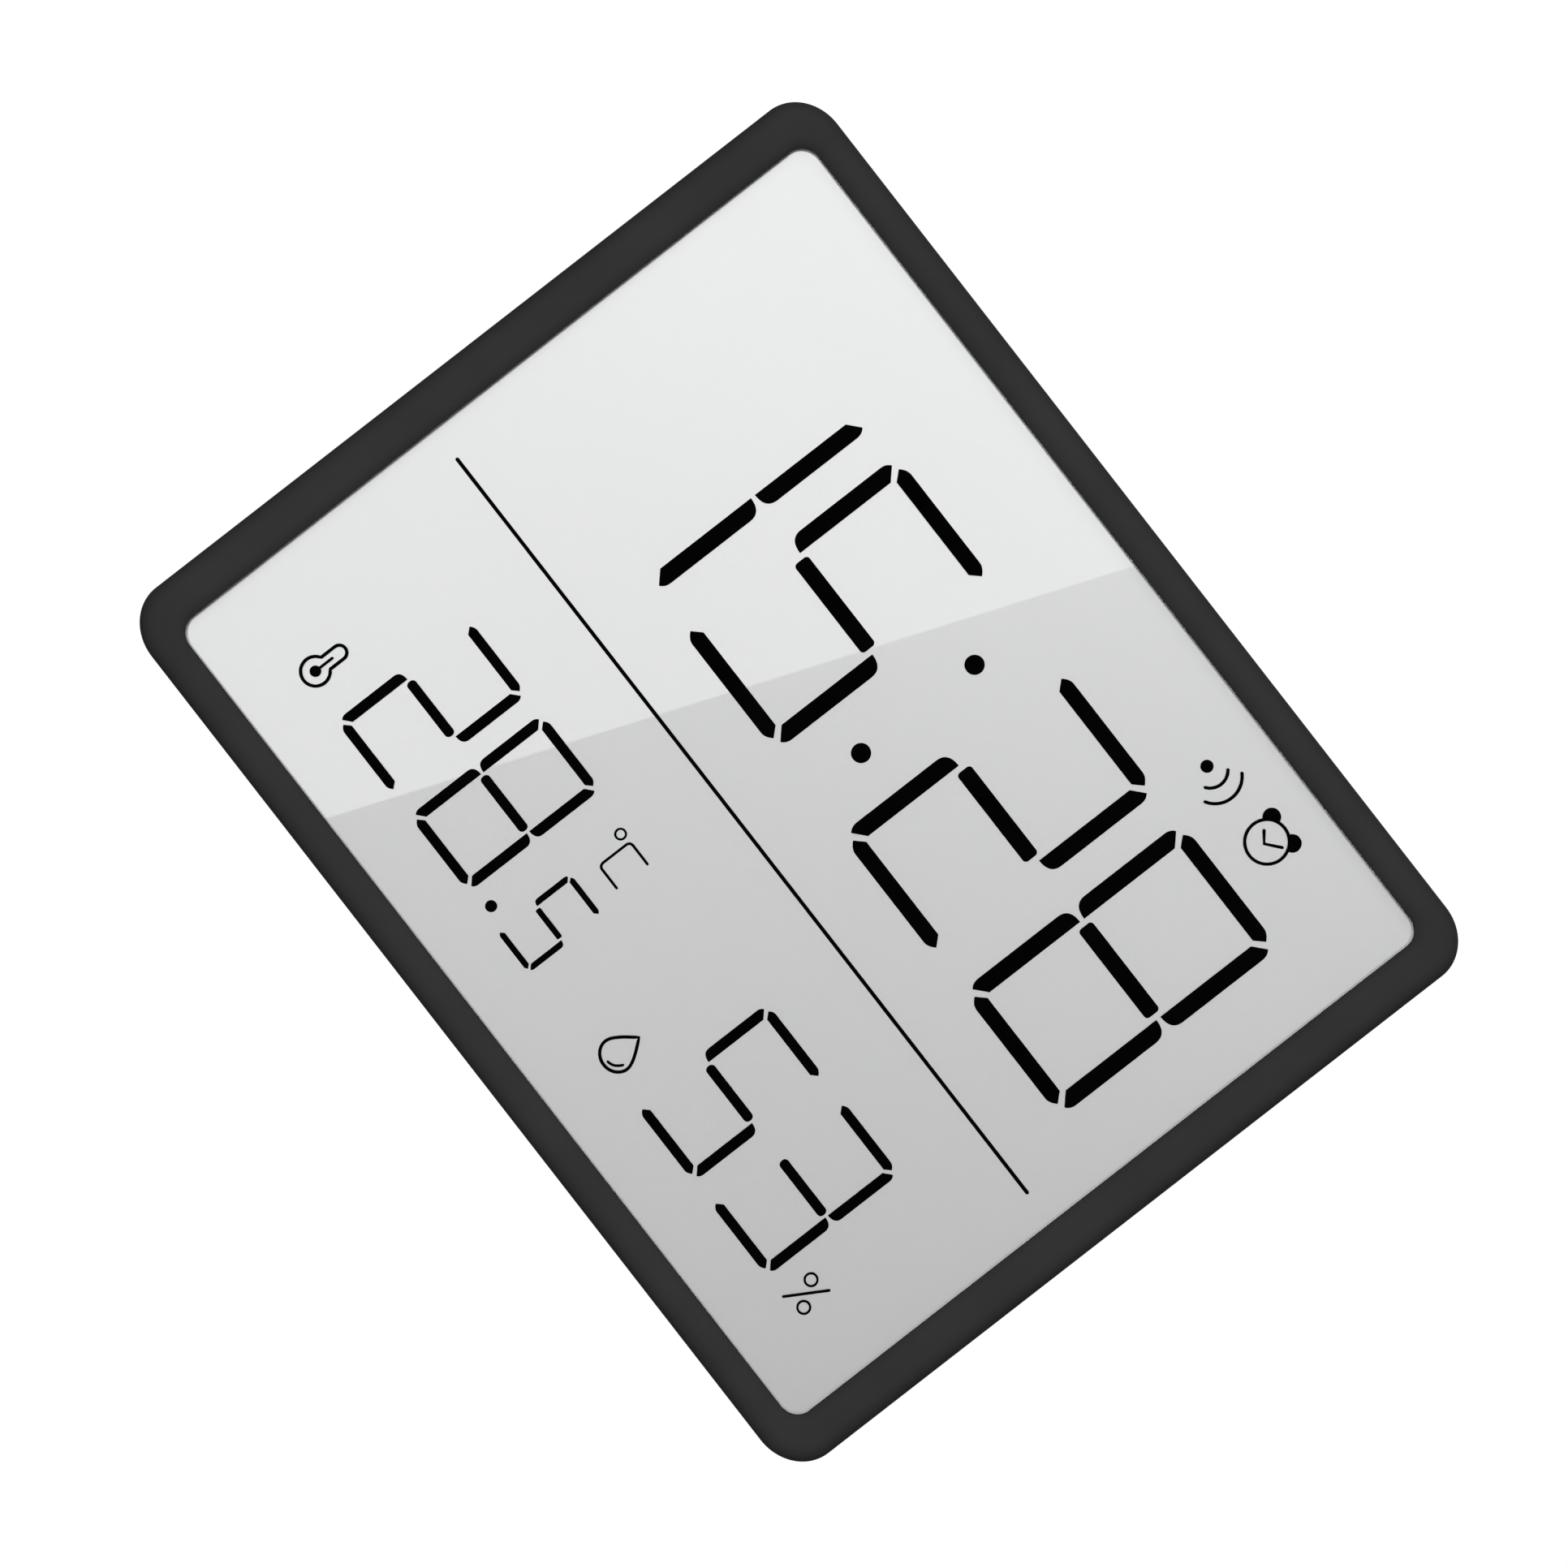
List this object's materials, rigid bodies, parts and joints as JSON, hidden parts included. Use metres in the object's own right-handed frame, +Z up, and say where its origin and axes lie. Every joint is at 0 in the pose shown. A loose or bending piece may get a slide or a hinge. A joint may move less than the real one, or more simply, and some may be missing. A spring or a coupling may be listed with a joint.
{
  "type": "digital wall clock",
  "caption": "Landscape digital wall clock with a large segment display for time, temperature and humidity, rear buttons, battery door, keyhole hanger and fold-out stand.",
  "frame": {"origin": "point in the back plane where the shank of the hanging screw rests in the keyhole", "axes": "+X right as seen from the front, +Y out of the back towards the wall, +Z up; the display faces -Y"},
  "size_m": [0.205, 0.0279, 0.1624],
  "materials": {
    "frame_plastic": "fine matt moulded ABS, charcoal",
    "rear_plastic": "fine matt moulded ABS, charcoal",
    "button_plastic": "satin moulded plastic",
    "tape": "black adhesive tape",
    "lens_clear": "clear polished window",
    "display_glass": "thin polished display glass",
    "display_ink": "opaque black display segments",
    "reflector_film": "pale grey diffusing film",
    "carrier_plastic": "white moulded plastic",
    "board_laminate": "green solder resist",
    "epoxy": "black moulded epoxy",
    "rubber": "black silicone rubber",
    "cell_sleeve": "plain printed sleeve over a metal can",
    "contact_nickel": "bright nickel plate",
    "steel": "zinc-plated steel",
    "buzzer_brass": "plain brass",
    "lead_red": "satin insulation",
    "lead_black": "satin insulation",
    "ribbon": "grey flat ribbon"
  },
  "bodies": {
    "body": {"front_frame": "frame_plastic", "lens_tape": "tape", "lens": "lens_clear", "lcd_front_glass": "display_glass", "lcd_segment_layer": "display_ink", "lcd_rear_glass": "display_glass", "lcd_reflector": "reflector_film", "display_carrier": "carrier_plastic", "zebra_strip": "rubber", "main_board": "board_laminate", "controller_chip": "epoxy", "clock_crystal": "steel", "smoothing_capacitor": "epoxy", "sensor_board": "board_laminate", "humidity_sensor": "epoxy", "sensor_ribbon": "ribbon", "buzzer_disc": "buzzer_brass", "buzzer_lead": "lead_black", "battery_lead_positive": "lead_red", "battery_lead_negative": "lead_black", "switch_body_1": "steel", "switch_body_2": "steel", "switch_body_3": "steel", "switch_body_4": "steel", "switch_body_5": "steel", "rear_housing": "rear_plastic", "battery_cell_upper": "cell_sleeve", "battery_cell_lower": "cell_sleeve", "battery_spring_upper": "contact_nickel", "battery_spring_lower": "contact_nickel", "contact_bridge": "contact_nickel", "contact_positive": "contact_nickel", "contact_negative": "contact_nickel", "stand_pin": "steel", "frame_screw_1": "steel", "frame_screw_2": "steel", "frame_screw_3": "steel", "frame_screw_4": "steel", "board_screw_1": "steel", "board_screw_2": "steel", "board_screw_3": "steel", "board_screw_4": "steel", "housing_screw_1": "steel", "housing_screw_2": "steel", "housing_screw_3": "steel", "housing_screw_4": "steel"},
    "door": {"battery_door": "rear_plastic"},
    "stand": {"stand_leg": "rear_plastic"},
    "button_1": {"button_1": "button_plastic", "switch_plunger_1": "epoxy"},
    "button_2": {"button_2": "button_plastic", "switch_plunger_2": "epoxy"},
    "button_3": {"button_3": "button_plastic", "switch_plunger_3": "epoxy"},
    "button_4": {"button_4": "button_plastic", "switch_plunger_4": "epoxy"},
    "button_5": {"button_5": "button_plastic", "switch_plunger_5": "epoxy"}
  },
  "joints": [
    {"name": "stand_hinge", "type": "hinge", "parent": "body", "child": "stand", "pos_m": [0, -0.0019, -0.0895], "axis": [1, 0, 0], "range_deg": [0, 40]},
    {"name": "battery_door_hinge", "type": "hinge", "parent": "body", "child": "door", "pos_m": [0, -0.00165, -0.04322], "axis": [1, 0, 0], "range_deg": [0, 90]},
    {"name": "button_1_press", "type": "slide", "parent": "body", "child": "button_1", "axis": [0, -1, 0], "range_m": [0, 0.0006], "stiffness_N_per_m": 1200},
    {"name": "button_2_press", "type": "slide", "parent": "body", "child": "button_2", "axis": [0, -1, 0], "range_m": [0, 0.0006], "stiffness_N_per_m": 1200},
    {"name": "button_3_press", "type": "slide", "parent": "body", "child": "button_3", "axis": [0, -1, 0], "range_m": [0, 0.0006], "stiffness_N_per_m": 1200},
    {"name": "button_4_press", "type": "slide", "parent": "body", "child": "button_4", "axis": [0, -1, 0], "range_m": [0, 0.0006], "stiffness_N_per_m": 1200},
    {"name": "button_5_press", "type": "slide", "parent": "body", "child": "button_5", "axis": [0, -1, 0], "range_m": [0, 0.0006], "stiffness_N_per_m": 1200}
  ]
}
